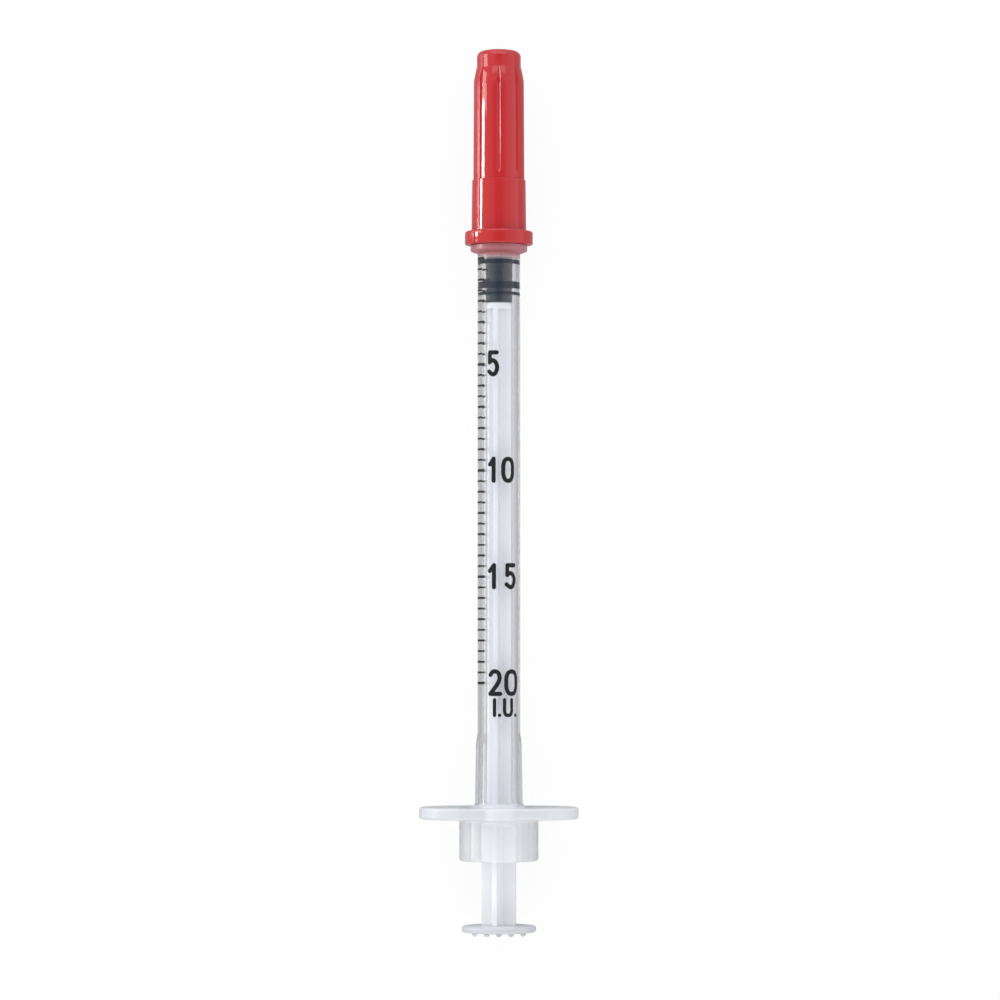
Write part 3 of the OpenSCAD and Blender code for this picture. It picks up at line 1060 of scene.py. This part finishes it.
def pale_world():
    """Soft light, dimmer straight above than near the horizon, which the lens sees as white."""
    light = 1.25
    world = bpy.data.worlds.new("studio")
    bpy.context.scene.world = world
    finish = Finish("studio", world)
    rays = finish.node("ShaderNodeLightPath", output="Is Camera Ray")
    spot = finish.node("ShaderNodeTexCoord", output="Generated")
    rise = finish.node("ShaderNodeSeparateXYZ", {}, {"Vector": spot}, output="Z")
    right = finish.node("ShaderNodeSeparateXYZ", {}, {"Vector": spot}, output="X")
    share = finish.ramp(rise, (0, 1), (0.2, 0.95), (0.6, 0.78), (0.88, 0.64), (0.975, 0.28))
    soft = finish.node("ShaderNodeBackground", {}, {
        "Color": (0.97, 0.98, 1, 1),
        "Strength": share * finish.between(light, light * 1.1, right),
    })
    white = finish.node("ShaderNodeBackground", {}, {"Color": (1, 1, 1, 1)})
    mixed = finish.node("ShaderNodeMixShader", {}, {0: rays, 1: soft, 2: white})
    finish.node("ShaderNodeOutputWorld", {}, {"Surface": mixed})


def softbox(name, place, aim, wide, long, radiance):
    """A rectangular lamp at a place in metres that faces a point, with its long side along the syringe."""
    data = bpy.data.lights.new(name, "AREA")
    data.shape = "RECTANGLE"
    data.size = wide
    data.size_y = long
    data.energy = radiance * math.pi * wide * long
    lamp = bpy.data.objects.new(name, data)
    lamp.location = place
    back = (Vector(place) - Vector(aim)).normalized()
    side = Vector((0, 1, 0)).cross(back).normalized()
    lamp.rotation_euler = Matrix((side, back.cross(side), back)).transposed().to_euler()
    lamp.visible_camera = False
    bpy.context.scene.collection.objects.link(lamp)


def studio_light():
    """Low strips on the left over a black card, and broad soft lamps past both ends."""
    softbox("cap_strip", (-0.6, 0.15, 0.083), (0, 0.09, 0), 0.11, 0.044, 24)
    softbox("head_strip", (-0.6, 0.287, 0.16), (0, 0.1, 0), 0.26, 0.23, 5)
    softbox("barrel_strip", (-0.6, 0.02, 0.083), (0, 0.02, 0), 0.11, 0.18, 3.5)
    softbox("head_fill", (0, 1.04, 0.7), (0, 0.04, 0), 1.4, 0.9, 1.3)
    softbox("tail_fill", (0, -0.96, 0.7), (0, 0.04, 0), 1.4, 0.9, 1.3)
    near, far, rear, low, high = -110, -580, -400, 0.2 - FLANGE_SIDE, 26
    profile = [(near, rear, low), (far, rear, low), (far, rear, high)]
    card = start_drawing("black_card", profile[0])
    draw_on(profile)
    bpy.ops.mesh.select_all(action="SELECT")
    extrude_by(0, 900, 0)
    close_mesh()
    card.visible_camera = card.visible_shadow = False
    card.visible_diffuse = card.visible_transmission = False
    finish = Finish("black_card")
    weave = finish.noise(900, 3)
    finish.plastic({
        "Base Color": finish.tint((0.004, 0.004, 0.004, 1), (0.012, 0.012, 0.012, 1), weave),
        "Roughness": 0.9,
    })
    card.data.materials.append(finish.material)


# Putting the syringe together

def finish_piece(piece, material, body, slot=None, *nodes):
    """Give a piece its material, the body that it moves with and the model's nodes that it stands for."""
    piece.data.materials.clear()
    piece.data.materials.append(material)
    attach(piece, body)
    if nodes:
        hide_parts(*nodes)


def repaint(node, material):
    """Give a node of the model a better material."""
    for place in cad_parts[node].material_slots:
        place.material = material


photo_camera()
studio_floor()
pale_world()
studio_light()

finish_piece(clear_barrel(), clear_plastic(), "barrel", "clear_plastic", "barrel")
ink = black_ink()
finish_piece(scale_marks(), ink, "barrel")
finish_piece(scale_figures(), ink, "barrel")
finish_piece(red_cap(), red_plastic(), "cap", "red_plastic", "needle_cap")
finish_piece(rubber_stopper(), dark_rubber(), "stopper", "dark_rubber", "stopper")
finish_piece(white_rod(), white_plastic(), "rod", "white_plastic", "plunger_rod")
repaint("needle", needle_steel())
repaint("needle_adhesive", cured_glue())

bpy.context.scene.view_settings.view_transform = "Standard"
